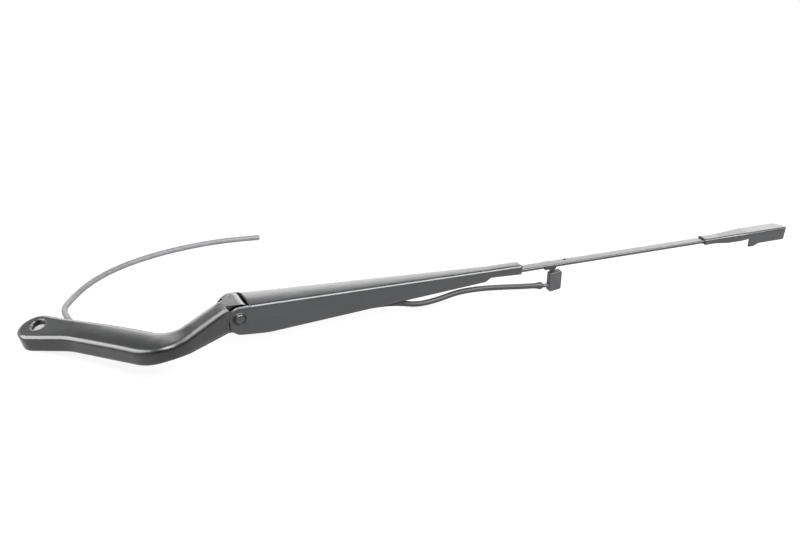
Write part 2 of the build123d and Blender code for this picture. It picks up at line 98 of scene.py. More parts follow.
# Electrocoat over a casting: near-black epoxy, satin. The casting's flow marks, some 9 mm across,
# wave the reflections a little, and the coat's own orange peel of about 0.7 mm breaks their edges.
flow_size = 0.009
peel_size = 0.0007
cast_coat, cast_coat_out = start_material("electrocoat_on_zinc_casting")
place = add_node(cast_coat, "ShaderNodeTexCoord")
flow = add_node(
    cast_coat,
    "ShaderNodeTexNoise",
    {"Scale": 1 / flow_size, "Detail": 2.0},
    {"Vector": place.outputs["Object"]},
)
peel = add_node(
    cast_coat,
    "ShaderNodeTexNoise",
    {"Scale": 1 / peel_size, "Detail": 1.0},
    {"Vector": place.outputs["Object"]},
)
# The limb's top is crowned by about a millimetre across its width.
# The crown fades in after the boss and out at the bend.
limb_across = (0.757, 0.6, 0.261)
limb_way = (0.568, -0.8, 0.196)
limb_middle = 0.0011
crown_bow = -8.0
arm_way = (0.946, 0.0, 0.326)
across = add_node(
    cast_coat,
    "ShaderNodeVectorMath",
    {1: limb_across},
    {0: place.outputs["Object"]},
    operation="DOT_PRODUCT",
)
off_middle = add_node(
    cast_coat,
    "ShaderNodeMath",
    {1: limb_middle},
    {0: across.outputs["Value"]},
    operation="SUBTRACT",
)
squared = add_node(
    cast_coat,
    "ShaderNodeMath",
    None,
    {0: off_middle.outputs[0], 1: off_middle.outputs[0]},
    operation="MULTIPLY",
)
limb_along = add_node(
    cast_coat,
    "ShaderNodeVectorMath",
    {1: limb_way},
    {0: place.outputs["Object"]},
    operation="DOT_PRODUCT",
)
after_boss = add_node(
    cast_coat,
    "ShaderNodeMapRange",
    {"From Min": 0.012, "From Max": 0.07, "To Min": 0.0, "To Max": crown_bow},
    {"Value": limb_along.outputs["Value"]},
    interpolation_type="SMOOTHSTEP",
)
arm_along = add_node(
    cast_coat,
    "ShaderNodeVectorMath",
    {1: arm_way},
    {0: place.outputs["Object"]},
    operation="DOT_PRODUCT",
)
before_bend = add_node(
    cast_coat,
    "ShaderNodeMapRange",
    {"From Min": 0.07, "From Max": 0.1, "To Min": 1.0, "To Max": 0.0},
    {"Value": arm_along.outputs["Value"]},
    interpolation_type="SMOOTHSTEP",
)
crown_share = add_node(
    cast_coat,
    "ShaderNodeMath",
    None,
    {0: after_boss.outputs["Result"], 1: before_bend.outputs["Result"]},
    operation="MULTIPLY",
)
crown_height = add_node(
    cast_coat,
    "ShaderNodeMath",
    None,
    {0: squared.outputs[0], 1: crown_share.outputs[0]},
    operation="MULTIPLY",
)
# The casting's edges are blended more and more from the boss to the rise, and crisp again at the hinge.
boss_blend = 0.002
rise_blend = 0.0055
hinge_share = 0.15
blend_out = add_node(
    cast_coat,
    "ShaderNodeMapRange",
    {"From Min": 0.02, "From Max": 0.105, "To Min": boss_blend, "To Max": rise_blend},
    {"Value": arm_along.outputs["Value"]},
)
at_hinge = add_node(
    cast_coat,
    "ShaderNodeMapRange",
    {"From Min": 0.122, "From Max": 0.132, "To Min": 1.0, "To Max": hinge_share},
    {"Value": arm_along.outputs["Value"]},
)
blend_radius = add_node(
    cast_coat,
    "ShaderNodeMath",
    None,
    {0: blend_out.outputs["Result"], 1: at_hinge.outputs["Result"]},
    operation="MULTIPLY",
)
soft_edges = add_node(
    cast_coat,
    "ShaderNodeBevel",
    None,
    {"Radius": blend_radius.outputs[0]},
    samples=12,
)
crown = add_node(
    cast_coat,
    "ShaderNodeBump",
    {"Strength": 1.0, "Distance": 1.0},
    {"Height": crown_height.outputs[0], "Normal": soft_edges.outputs["Normal"]},
)
shade = add_node(cast_coat, "ShaderNodeValToRGB", None, {"Fac": flow.outputs["Fac"]})
shade.color_ramp.elements[0].position = 0.3
shade.color_ramp.elements[0].color = linear("#0e0f10")
shade.color_ramp.elements[1].position = 0.7
shade.color_ramp.elements[1].color = linear("#141516")
satin = add_node(
    cast_coat,
    "ShaderNodeMapRange",
    {"From Min": 0.3, "From Max": 0.7, "To Min": 0.30, "To Max": 0.36},
    {"Value": peel.outputs["Fac"]},
)
waves = add_node(
    cast_coat,
    "ShaderNodeBump",
    {"Strength": 0.35, "Distance": 0.0004},
    {"Height": flow.outputs["Fac"], "Normal": crown.outputs["Normal"]},
)
skin = add_node(
    cast_coat,
    "ShaderNodeBump",
    {"Strength": 0.25, "Distance": 0.00005},
    {"Height": peel.outputs["Fac"], "Normal": waves.outputs["Normal"]},
)
shader = add_node(
    cast_coat,
    "ShaderNodeBsdfPrincipled",
    {"IOR": 1.4, "Coat Weight": 0.65, "Coat Roughness": 0.2, "Coat IOR": 1.55},
    {
        "Base Color": shade.outputs["Color"],
        "Roughness": satin.outputs["Result"],
        "Normal": skin.outputs["Normal"],
        "Coat Normal": skin.outputs["Normal"],
    },
)
# Below its mouth the spindle bore is given a near-white bare metal: painted light, standing in for the
# white backdrop seen through the bore.
spindle_tilt = math.radians(19)
spindle_axis = (-math.sin(spindle_tilt), 0.0, math.cos(spindle_tilt))
bore_radius = 0.0053
mouth_height = 0.0092
height = add_node(
    cast_coat,
    "ShaderNodeVectorMath",
    {1: spindle_axis},
    {0: place.outputs["Object"]},
    operation="DOT_PRODUCT",
)
from_axis = add_node(
    cast_coat,
    "ShaderNodeVectorMath",
    {1: spindle_axis},
    {0: place.outputs["Object"]},
    operation="CROSS_PRODUCT",
)
radius = add_node(
    cast_coat, "ShaderNodeVectorMath", None, {0: from_axis.outputs["Vector"]}, operation="LENGTH"
)
in_bore = add_node(
    cast_coat,
    "ShaderNodeMath",
    {1: bore_radius},
    {0: radius.outputs["Value"]},
    operation="LESS_THAN",
)
below_mouth = add_node(
    cast_coat,
    "ShaderNodeMath",
    {1: mouth_height},
    {0: height.outputs["Value"]},
    operation="LESS_THAN",
)
bore_painted_light_mask = add_node(
    cast_coat,
    "ShaderNodeMath",
    None,
    {0: in_bore.outputs[0], 1: below_mouth.outputs[0]},
    operation="MULTIPLY",
)
# Near-white metal in the bore: painted light for the white seen through it.
bore_painted_light_metal = add_node(
    cast_coat,
    "ShaderNodeBsdfPrincipled",
    {"Base Color": linear("#eeeef0"), "Metallic": 1.0, "Roughness": 0.25},
    {"Normal": skin.outputs["Normal"]},
)
surface = add_node(
    cast_coat,
    "ShaderNodeMixShader",
    None,
    {0: bore_painted_light_mask.outputs[0], 1: shader.outputs["BSDF"], 2: bore_painted_light_metal.outputs["BSDF"]},
)
cast_coat.node_tree.links.new(surface.outputs["Shader"], cast_coat_out.inputs["Surface"])
coat_piece(node["arm_head"], cast_coat)

# Bush: a sintered bronze sleeve pressed in the head's barrel, on which the rivet turns.
# Sintering leaves fine open pores, which hold the oil and darken the metal in specks.
pore_size = 0.0006
bronze, bronze_out = start_material("oiled_sintered_bronze")
place = add_node(bronze, "ShaderNodeTexCoord")
pores = add_node(
    bronze,
    "ShaderNodeTexNoise",
    {"Scale": 1 / pore_size, "Detail": 3.0},
    {"Vector": place.outputs["Object"]},
)
tint = add_node(bronze, "ShaderNodeValToRGB", None, {"Fac": pores.outputs["Fac"]})
tint.color_ramp.elements[0].position = 0.35
tint.color_ramp.elements[0].color = linear("#4c3820")
tint.color_ramp.elements[1].position = 0.6
tint.color_ramp.elements[1].color = linear("#8d6f45")
grain = add_node(
    bronze,
    "ShaderNodeBump",
    {"Strength": 0.4, "Distance": 0.0001},
    {"Height": pores.outputs["Fac"]},
)
shader = add_node(
    bronze,
    "ShaderNodeBsdfPrincipled",
    {"Metallic": 1.0, "Roughness": 0.45},
    {"Base Color": tint.outputs["Color"], "Normal": grain.outputs["Normal"]},
)
bronze.node_tree.links.new(shader.outputs["BSDF"], bronze_out.inputs["Surface"])
coat_piece(node["pivot_bush"], bronze)

# Hinge washers: two thin rings of black acetal, punched from sheet, one on each side of the barrel.
# They keep the coated ears from rubbing on the casting.
# Acetal is a waxy plastic, with a soft and slightly hazy shine.
haze_size = 0.002
acetal, acetal_out = start_material("black_acetal")
place = add_node(acetal, "ShaderNodeTexCoord")
haze = add_node(
    acetal,
    "ShaderNodeTexNoise",
    {"Scale": 1 / haze_size, "Detail": 2.0},
    {"Vector": place.outputs["Object"]},
)
wear = add_node(
    acetal, "ShaderNodeMapRange", {"To Min": 0.4, "To Max": 0.55}, {"Value": haze.outputs["Fac"]}
)
tone = add_node(acetal, "ShaderNodeValToRGB", None, {"Fac": haze.outputs["Fac"]})
tone.color_ramp.elements[0].color = linear("#161617")
tone.color_ramp.elements[1].color = linear("#222224")
shader = add_node(
    acetal,
    "ShaderNodeBsdfPrincipled",
    {"IOR": 1.48},
    {"Base Color": tone.outputs["Color"], "Roughness": wear.outputs["Result"]},
)
acetal.node_tree.links.new(shader.outputs["BSDF"], acetal_out.inputs["Surface"])
coat_piece(node["hinge_washers"], acetal)

# Anchor pin: a plain steel pin pressed through the head below the hinge, for the spring's hook to pull on.
# It is zinc plated: a cool grey metal with a cloudy, slightly blotched shine.
cloud_size = 0.004
zinc, zinc_out = start_material("zinc_plated_steel")
place = add_node(zinc, "ShaderNodeTexCoord")
clouds = add_node(
    zinc,
    "ShaderNodeTexNoise",
    {"Scale": 1 / cloud_size, "Detail": 4.0},
    {"Vector": place.outputs["Object"]},
)
tone = add_node(zinc, "ShaderNodeValToRGB", None, {"Fac": clouds.outputs["Fac"]})
tone.color_ramp.elements[0].position = 0.3
tone.color_ramp.elements[0].color = linear("#8a8d90")
tone.color_ramp.elements[1].position = 0.7
tone.color_ramp.elements[1].color = linear("#b3b6b8")
gloss = add_node(
    zinc, "ShaderNodeMapRange", {"To Min": 0.28, "To Max": 0.46}, {"Value": clouds.outputs["Fac"]}
)
shader = add_node(
    zinc,
    "ShaderNodeBsdfPrincipled",
    {"Metallic": 1.0},
    {"Base Color": tone.outputs["Color"], "Roughness": gloss.outputs["Result"]},
)
zinc.node_tree.links.new(shader.outputs["BSDF"], zinc_out.inputs["Surface"])
coat_piece(node["anchor_pin"], zinc)

# Pressed channel: one steel sheet, blanked, folded to a tapering trough and pierced for the rivet.
# It has the same black electrocoat as the head, smoother here because rolled sheet lies under it.
sheet_coat, sheet_coat_out = start_material("electrocoat_on_rolled_steel")
place = add_node(sheet_coat, "ShaderNodeTexCoord")
# Rolling lines run along the arm: the pattern is drawn out thirty times in that direction.
line_size = 0.0016
line_stretch = 30
along = add_node(
    sheet_coat,
    "ShaderNodeMapping",
    {"Scale": (1 / line_stretch, 1.0, 1.0)},
    {"Vector": place.outputs["Object"]},
)
lines = add_node(
    sheet_coat,
    "ShaderNodeTexNoise",
    {"Scale": 1 / line_size, "Detail": 2.0},
    {"Vector": along.outputs["Vector"]},
)
peel = add_node(
    sheet_coat,
    "ShaderNodeTexNoise",
    {"Scale": 1 / peel_size, "Detail": 1.0},
    {"Vector": place.outputs["Object"]},
)
shade = add_node(sheet_coat, "ShaderNodeValToRGB", None, {"Fac": lines.outputs["Fac"]})
shade.color_ramp.elements[0].position = 0.3
shade.color_ramp.elements[0].color = linear("#161718")
shade.color_ramp.elements[1].position = 0.7
shade.color_ramp.elements[1].color = linear("#1c1d1f")
satin = add_node(
    sheet_coat,
    "ShaderNodeMapRange",
    {"From Min": 0.3, "From Max": 0.7, "To Min": 0.30, "To Max": 0.38},
    {"Value": peel.outputs["Fac"]},
)
# The coat also flows round the folds and cut edges, which softens them over some two millimetres.
fold_blend = 0.0024
soft_edges = add_node(sheet_coat, "ShaderNodeBevel", {"Radius": fold_blend}, samples=12)
rolled = add_node(
    sheet_coat,
    "ShaderNodeBump",
    {"Strength": 0.3, "Distance": 0.00008},
    {"Height": lines.outputs["Fac"], "Normal": soft_edges.outputs["Normal"]},
)
skin = add_node(
    sheet_coat,
    "ShaderNodeBump",
    {"Strength": 0.2, "Distance": 0.00004},
    {"Height": peel.outputs["Fac"], "Normal": rolled.outputs["Normal"]},
)
shader = add_node(
    sheet_coat,
    "ShaderNodeBsdfPrincipled",
    {"IOR": 1.5, "Coat Weight": 0.65, "Coat Roughness": 0.2, "Coat IOR": 1.55},
    {
        "Base Color": shade.outputs["Color"],
        "Roughness": satin.outputs["Result"],
        "Normal": skin.outputs["Normal"],
        "Coat Normal": skin.outputs["Normal"],
    },
)
sheet_coat.node_tree.links.new(shader.outputs["BSDF"], sheet_coat_out.inputs["Surface"])
coat_piece(node["arm_channel"], sheet_coat)

# Ear edges: where the channel's sheet ends round the hinge, the press coins its cut edge to a full round.
# It is the same sheet; its lighter bare-steel finish is a painted highlight, standing in for the bright
# line over the round end of each ear.


def join_pieces(main, extras):
    """Joins some extras into a main piece."""
    bpy.ops.object.select_all(action="DESELECT")
    for extra in extras:
        extra.select_set(True)
    main.select_set(True)
    bpy.context.view_layer.objects.active = main
    bpy.ops.object.join()


def settle(piece, matrix, angle):
    """Puts a piece modelled at the origin in its place, applies that to its mesh, and smooths it."""
    bpy.ops.object.select_all(action="DESELECT")
    piece.select_set(True)
    bpy.context.view_layer.objects.active = piece
    piece.matrix_world = matrix
    bpy.ops.object.transform_apply()
    bpy.ops.object.shade_smooth_by_angle(angle=math.radians(angle))


hinge = Vector((0.1375, -0.0551, 0.0294))
ear_edges = []
ear_radius = 0.0099
ear_middle = 0.01195
edge_radius = 0.00075
top_run = 0.0083
end_run = (0.0026, 0, -0.0088)
end_sweep = math.radians(78)
for side in (-1, 1):
    bpy.ops.object.select_all(action="DESELECT")
    bpy.ops.mesh.primitive_circle_add(
        vertices=12,
        radius=edge_radius,
        fill_type="NGON",
        location=(top_run, side * ear_middle, ear_radius),
        rotation=(0, math.pi / 2, 0),
    )
    edge = bpy.context.object
    edge.name = "ear_edges"
    bpy.ops.object.transform_apply()
    bpy.ops.object.mode_set(mode="EDIT")
    bpy.ops.mesh.select_all(action="SELECT")
    bpy.ops.mesh.extrude_region_move(TRANSFORM_OT_translate={"value": (-top_run, 0, 0)})
    bpy.ops.mesh.spin(steps=14, angle=end_sweep, center=(0, 0, 0), axis=(0, 1, 0))
    bpy.ops.mesh.extrude_region_move(TRANSFORM_OT_translate={"value": end_run})
    bpy.ops.mesh.select_all(action="SELECT")
    bpy.ops.mesh.remove_doubles(threshold=0.00001)
    bpy.ops.mesh.normals_make_consistent(inside=False)
    bpy.ops.object.mode_set(mode="OBJECT")
    ear_edges.append(edge)
join_pieces(ear_edges[1], ear_edges[:1])
ear_edge = bpy.context.object
ear_edge.name = "ear_edges"
settle(ear_edge, Matrix.Translation(hinge), 50)
# The edge is given a bare-steel finish, lighter than the coat and scuffed in patches: painted highlight
# along the rounded edge.
scuff_size = 0.003
edge_painted_highlight, edge_painted_highlight_out = start_material("steel_edge_painted_highlight")
place = add_node(edge_painted_highlight, "ShaderNodeTexCoord")
scuffs = add_node(
    edge_painted_highlight,
    "ShaderNodeTexNoise",
    {"Scale": 1 / scuff_size, "Detail": 3.0},
    {"Vector": place.outputs["Object"]},
)
tone = add_node(edge_painted_highlight, "ShaderNodeValToRGB", None, {"Fac": scuffs.outputs["Fac"]})
tone.color_ramp.elements[0].position = 0.3
tone.color_ramp.elements[0].color = linear("#404143")
tone.color_ramp.elements[1].position = 0.7
tone.color_ramp.elements[1].color = linear("#66676a")
gloss = add_node(
    edge_painted_highlight,
    "ShaderNodeMapRange",
    {"To Min": 0.25, "To Max": 0.4},
    {"Value": scuffs.outputs["Fac"]},
)
shader = add_node(
    edge_painted_highlight,
    "ShaderNodeBsdfPrincipled",
    {"Metallic": 1.0},
    {"Base Color": tone.outputs["Color"], "Roughness": gloss.outputs["Result"]},
)
edge_painted_highlight.node_tree.links.new(shader.outputs["BSDF"], edge_painted_highlight_out.inputs["Surface"])
coat_piece(ear_edge, edge_painted_highlight)
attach(ear_edge, "arm")

# Hinge rivet: a steel pin through both ears and the bush, set on the spot by a wobbling punch.
# That leaves a low head inside a raised collar, with a groove between. It is coated with the arm.


def turned(name, sides, profile):
    """A round piece built up along Z: a disc, extruded and scaled through (height, radius) steps."""
    bpy.ops.object.select_all(action="DESELECT")
    bpy.ops.mesh.primitive_circle_add(
        vertices=sides, radius=profile[0][1], fill_type="NGON", location=(0, 0, profile[0][0])
    )
    piece = bpy.context.object
    piece.name = name
    bpy.ops.object.transform_apply()
    bpy.ops.object.mode_set(mode="EDIT")
    bpy.ops.mesh.select_all(action="SELECT")
    for (low, before), (high, after) in zip(profile, profile[1:]):
        bpy.ops.mesh.extrude_region_move(TRANSFORM_OT_translate={"value": (0, 0, high - low)})
        growth = after / before
        bpy.ops.transform.resize(value=(growth, growth, 1), center_override=(0, 0, high))
    bpy.ops.mesh.select_all(action="SELECT")
    bpy.ops.mesh.normals_make_consistent(inside=False)
    bpy.ops.object.mode_set(mode="OBJECT")
    return piece


ear_outside = 0.0127
shank_radius = 0.004
dome = [(0, 0.0058), (0.0004, 0.0058), (0.0008, 0.0056), (0.0010, 0.0053), (0.0009, 0.0050)]
dome += [(0.00015, 0.0047), (0.00015, 0.0042), (0.0011, 0.0040), (0.0014, 0.0036), (0.0016, 0.0026)]
dome += [(0.00165, 0.0012)]
rivet_profile = [(-ear_outside - height, radius) for height, radius in reversed(dome)]
rivet_profile += [(-ear_outside, shank_radius), (ear_outside, shank_radius)]
rivet_profile += [(ear_outside + height, radius) for height, radius in dome]
rivet = turned("set_rivet", 40, rivet_profile)
settle(rivet, Matrix.Translation(hinge) @ Matrix.Rotation(math.pi / 2, 4, "X"), 40)
coat_piece(rivet, sheet_coat)
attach(rivet, "arm")
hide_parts("hinge_rivet")

# Spring hook: a flat steel strap from the anchor pin to the spring, blanked, deburred and zinc plated.
# It is held only by the spring's pull, so it swings on the pin as the arm lifts.


def pick_edges(piece, test):
    """Selects the edges of the piece in edit mode that pass a test, and nothing else."""
    mesh = bmesh.from_edit_mesh(piece.data)
    bpy.ops.mesh.select_mode(type="EDGE")
    bpy.ops.mesh.select_all(action="DESELECT")
    for edge in mesh.edges:
        edge.select_set(test(edge))
    bmesh.update_edit_mesh(piece.data)


def along_y(edge):
    """How far an edge runs along Y, from 0 to 1."""
    return abs((edge.verts[0].co - edge.verts[1].co).normalized().y)


def start_block(name, size):
    """A block of that size at the origin, in edit mode."""
    bpy.ops.object.select_all(action="DESELECT")
    bpy.ops.mesh.primitive_cube_add(size=1, scale=size)
    piece = bpy.context.object
    piece.name = name
    bpy.ops.object.transform_apply()
    bpy.ops.object.mode_set(mode="EDIT")
    return piece


def drill(piece, spot, radius, turn):
    """Cuts a round hole through a piece at a spot, along an axis turned from Z."""
    bpy.ops.object.select_all(action="DESELECT")
    bpy.ops.mesh.primitive_cylinder_add(
        vertices=24, radius=radius, depth=0.02, location=spot, rotation=turn
    )
    cutter = bpy.context.object
    cut = piece.modifiers.new("hole", "BOOLEAN")
    cut.object = cutter
    cut.operation = "DIFFERENCE"
    bpy.context.view_layer.objects.active = piece
    bpy.ops.object.modifier_apply(modifier="hole")
    bpy.data.objects.remove(cutter)


pin_spot = hinge + Vector((0.005, 0, -0.0106))
hook_spot = hinge + Vector((0.066, 0, -0.00812))
strap_along = (hook_spot - pin_spot).normalized()
strap_length = (hook_spot - pin_spot).length
strap_width = 0.007
strap_sheet = 0.003
end_round = 0.0034
pin_hole = 0.00206
spring_hole = 0.0016
rim_round = 0.0003
cut_step = 0.003
strap = start_block("spring_strap", (strap_length + strap_width, strap_sheet, strap_width))
pick_edges(strap, lambda edge: along_y(edge) > 0.9)
bpy.ops.mesh.bevel(offset=end_round, segments=8, affect="EDGES")
# Its mesh is cut across every 3 mm.
for cut in range(-9, 10):
    bpy.ops.mesh.select_all(action="SELECT")
    bpy.ops.mesh.bisect(plane_co=(cut * cut_step, 0, 0), plane_no=(1, 0, 0))
bpy.ops.object.mode_set(mode="OBJECT")
quarter_turn = (math.pi / 2, 0, 0)
drill(strap, (-strap_length / 2, 0, 0), pin_hole, quarter_turn)
drill(strap, (strap_length / 2, 0, 0), spring_hole, quarter_turn)
rim = strap.modifiers.new("rim", "BEVEL")
rim.width = rim_round
rim.segments = 2
rim.limit_method = "ANGLE"
rim.angle_limit = math.radians(50)
bpy.ops.object.modifier_apply(modifier="rim")
strap_tilt = math.atan2(strap_along.z, strap_along.x)
strap_place = Matrix.Translation((pin_spot + hook_spot) / 2) @ Matrix.Rotation(-strap_tilt, 4, "Y")
settle(strap, strap_place, 40)
coat_piece(strap, zinc)
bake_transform(strap)
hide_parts("spring_hook")

# Tension spring: drawn spring wire, wound close on an arbor, with an eye turned up at each end, and plated.
# It pulls the arm down on the glass, hooked to the strap at one end and in the rod's eye at the other.


def aimed(spot, way):
    """A place at a spot, with Z turned to point one way."""
    return Matrix.Translation(spot) @ way.to_track_quat("Z", "Y").to_matrix().to_4x4()


wire = 0.00075
coil_radius = 0.0036
coil_turns = 58
eye_radius = 0.003
eye_reach = 0.007
rod_eye = hinge + Vector((0.204, 0, -0.0025))
pull = (rod_eye - hook_spot).normalized()
coil_start = hook_spot + pull * eye_reach
coil_end = rod_eye - pull * eye_reach
bpy.ops.object.select_all(action="DESELECT")
bpy.ops.mesh.primitive_circle_add(
    vertices=10, radius=wire, location=(coil_radius, 0, 0), rotation=quarter_turn
)
spring = bpy.context.object
spring.name = "wound_spring"
bpy.ops.object.transform_apply()
winding = spring.modifiers.new("winding", "SCREW")
winding.axis = "Z"
winding.angle = 2 * math.pi
winding.iterations = coil_turns
winding.screw_offset = (coil_end - coil_start).length / coil_turns
winding.steps = 18
winding.render_steps = 18
bpy.ops.object.modifier_apply(modifier="winding")
bpy.ops.object.mode_set(mode="EDIT")
bpy.ops.mesh.select_all(action="SELECT")
bpy.ops.mesh.fill_holes(sides=10)
bpy.ops.mesh.select_all(action="SELECT")
bpy.ops.mesh.normals_make_consistent(inside=False)
bpy.ops.object.mode_set(mode="OBJECT")
settle(spring, aimed(coil_start, pull), 60)
eyes = []
for spot, side, turn in ((hook_spot, 1, 0), (rod_eye, -1, math.pi / 2)):
    bpy.ops.object.select_all(action="DESELECT")
    bpy.ops.mesh.primitive_torus_add(
        major_segments=28, minor_segments=10, major_radius=eye_radius, minor_radius=wire
    )
    eye = bpy.context.object
    neck = turned("eye_neck", 10, [(0.0022, wire), (0.0045, wire)])
    settle(neck, Matrix.Rotation(math.pi / 2, 4, "Y"), 60)
    join_pieces(eye, [neck])
    flip = Matrix.Rotation(0 if side > 0 else math.pi, 4, "Z")
    slope = Matrix.Rotation(-math.atan2(pull.z, pull.x), 4, "Y")
    eye_place = Matrix.Translation(spot + pull * side * eye_radius) @ slope
    settle(eye, eye_place @ Matrix.Rotation(turn, 4, "X") @ flip, 60)
    eyes.append(eye)
join_pieces(spring, eyes)
coat_piece(spring, zinc)
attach(spring, "arm")
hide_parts("tension_spring")

# Flat rod: a cold drawn steel bar, cut to length and cross drilled once, with an eye at its hidden end.
# The channel's socket is pressed tight round it, and it has the same black coat as the channel.
# A dark, dull disc is painted over the small hole: painted shade for the hole.
rod_coat = sheet_coat.copy()
rod_coat.name = "electrocoat_on_drawn_steel"
rod_out = rod_coat.node_tree.nodes["Material Output"]
rod_shine = rod_out.inputs["Surface"].links[0].from_node
hole_spot = hinge + Vector((0.3295, 0.00225, 0))
hole_shade_inside = 0.0014
hole_shade_outside = 0.0018
place = add_node(rod_coat, "ShaderNodeTexCoord")
from_hole = add_node(
    rod_coat,
    "ShaderNodeVectorMath",
    {1: hole_spot},
    {0: place.outputs["Object"]},
    operation="SUBTRACT",
)
level_part = add_node(
    rod_coat,
    "ShaderNodeVectorMath",
    {1: (1.0, 1.0, 0.0)},
    {0: from_hole.outputs["Vector"]},
    operation="MULTIPLY",
)
hole_distance = add_node(
    rod_coat, "ShaderNodeVectorMath", None, {0: level_part.outputs["Vector"]}, operation="LENGTH"
)
hole_shade_mask = add_node(
    rod_coat,
    "ShaderNodeMapRange",
    {"From Min": hole_shade_inside, "From Max": hole_shade_outside, "To Min": 1.0, "To Max": 0.0},
    {"Value": hole_distance.outputs["Value"]},
)
# Dark matte shader: the painted shade in the hole.
hole_shade = add_node(
    rod_coat,
    "ShaderNodeBsdfPrincipled",
    {"Base Color": linear("#0b0b0c"), "Roughness": 0.7, "IOR": 1.3},
)
rod_surface = add_node(
    rod_coat,
    "ShaderNodeMixShader",
    None,
    {0: hole_shade_mask.outputs["Result"], 1: rod_shine.outputs["BSDF"], 2: hole_shade.outputs["BSDF"]},
)
rod_coat.node_tree.links.new(rod_surface.outputs["Shader"], rod_out.inputs["Surface"])
coat_piece(node["arm_rod"], rod_coat)

# Blade connector: one piece of thin steel sheet, folded to a trough with a hooked lug on its near wall.
# Its narrow end is crimped on the rod. It is coated together with the channel and the rod.
coat_piece(node["blade_connector"], sheet_coat)

# Nozzle clip: a saddle of black acetal, moulded in one with the stalk that the nozzle snaps on.
# It is pushed sideways on the rod, which its two lips hold by their spring.
coat_piece(node["nozzle_clip"], acetal)

# Washer nozzle: a black polyamide block moulded in one with its hose barb, with two jets below.
# It snaps on the clip's stalk. Its corners are generously rounded and the mould left a fine matt grain.
nozzle_spot = hinge + Vector((0.3172, -0.003, -0.0185))
nozzle_size = (0.0132, 0.006, 0.0196)
corner_round = 0.0019
face_round = 0.0007
nozzle = start_block("moulded_nozzle", nozzle_size)
pick_edges(nozzle, lambda edge: along_y(edge) > 0.9)
bpy.ops.mesh.bevel(offset=corner_round, segments=5, affect="EDGES")
pick_edges(nozzle, lambda edge: along_y(edge) < 0.1)
bpy.ops.mesh.bevel(offset=face_round, segments=3, affect="EDGES")
bpy.ops.object.mode_set(mode="OBJECT")
barb_root = Vector((-nozzle_size[0] / 2, 0, -0.00365))
barb_profile = [(-0.001, 0.0023), (0.0007, 0.0023), (0.0009, 0.0019), (0.0030, 0.0018), (0.0056, 0.00165)]
barb_profile += [(0.0062, 0.0014), (0.0105, 0.0014), (0.0108, 0.0012)]
barb = turned("barb", 24, barb_profile)
barb_out = Vector((-0.995, 0, 0.0995)).normalized()
settle(barb, aimed(barb_root, barb_out), 40)
jet_profile = [(-0.001, 0.0011), (0.0004, 0.0011), (0.0006, 0.0009), (0.0006, 0.0006), (-0.0004, 0.0005)]
jets = []
for side in (-1, 1):
    jet = turned("jet", 20, jet_profile)
    down = Matrix.Rotation(math.pi, 4, "X")
    settle(jet, Matrix.Translation((side * nozzle_size[0] / 5, 0, -nozzle_size[2] / 2)) @ down, 40)
    jets.append(jet)
join_pieces(nozzle, [barb] + jets)
nozzle_tilt = math.radians(-6)
settle(nozzle, Matrix.Translation(nozzle_spot) @ Matrix.Rotation(nozzle_tilt, 4, "Y"), 40)
# Moulded polyamide: charcoal rather than black, dulled by the spark-eroded mould's fine grain.
spark_size = 0.0005
patch_size = 0.005
polyamide, polyamide_out = start_material("black_polyamide")
place = add_node(polyamide, "ShaderNodeTexCoord")
spark = add_node(
    polyamide,
    "ShaderNodeTexNoise",
    {"Scale": 1 / spark_size, "Detail": 2.0},
    {"Vector": place.outputs["Object"]},
)
patch = add_node(
    polyamide,
    "ShaderNodeTexNoise",
    {"Scale": 1 / patch_size, "Detail": 1.0},
    {"Vector": place.outputs["Object"]},
)
shade = add_node(polyamide, "ShaderNodeValToRGB", None, {"Fac": patch.outputs["Fac"]})
shade.color_ramp.elements[0].color = linear("#29292b")
shade.color_ramp.elements[1].color = linear("#323234")
matt = add_node(
    polyamide,
    "ShaderNodeMapRange",
    {"To Min": 0.42, "To Max": 0.58},
    {"Value": spark.outputs["Fac"]},
)
grain = add_node(
    polyamide,
    "ShaderNodeBump",
    {"Strength": 0.3, "Distance": 0.00006},
    {"Height": spark.outputs["Fac"]},
)
shader = add_node(
    polyamide,
    "ShaderNodeBsdfPrincipled",
    {"IOR": 1.53},
    {
        "Base Color": shade.outputs["Color"],
        "Roughness": matt.outputs["Result"],
        "Normal": grain.outputs["Normal"],
    },
)
polyamide.node_tree.links.new(shader.outputs["BSDF"], polyamide_out.inputs["Surface"])
coat_piece(nozzle, polyamide)
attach(nozzle, "arm")
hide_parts("washer_nozzle")

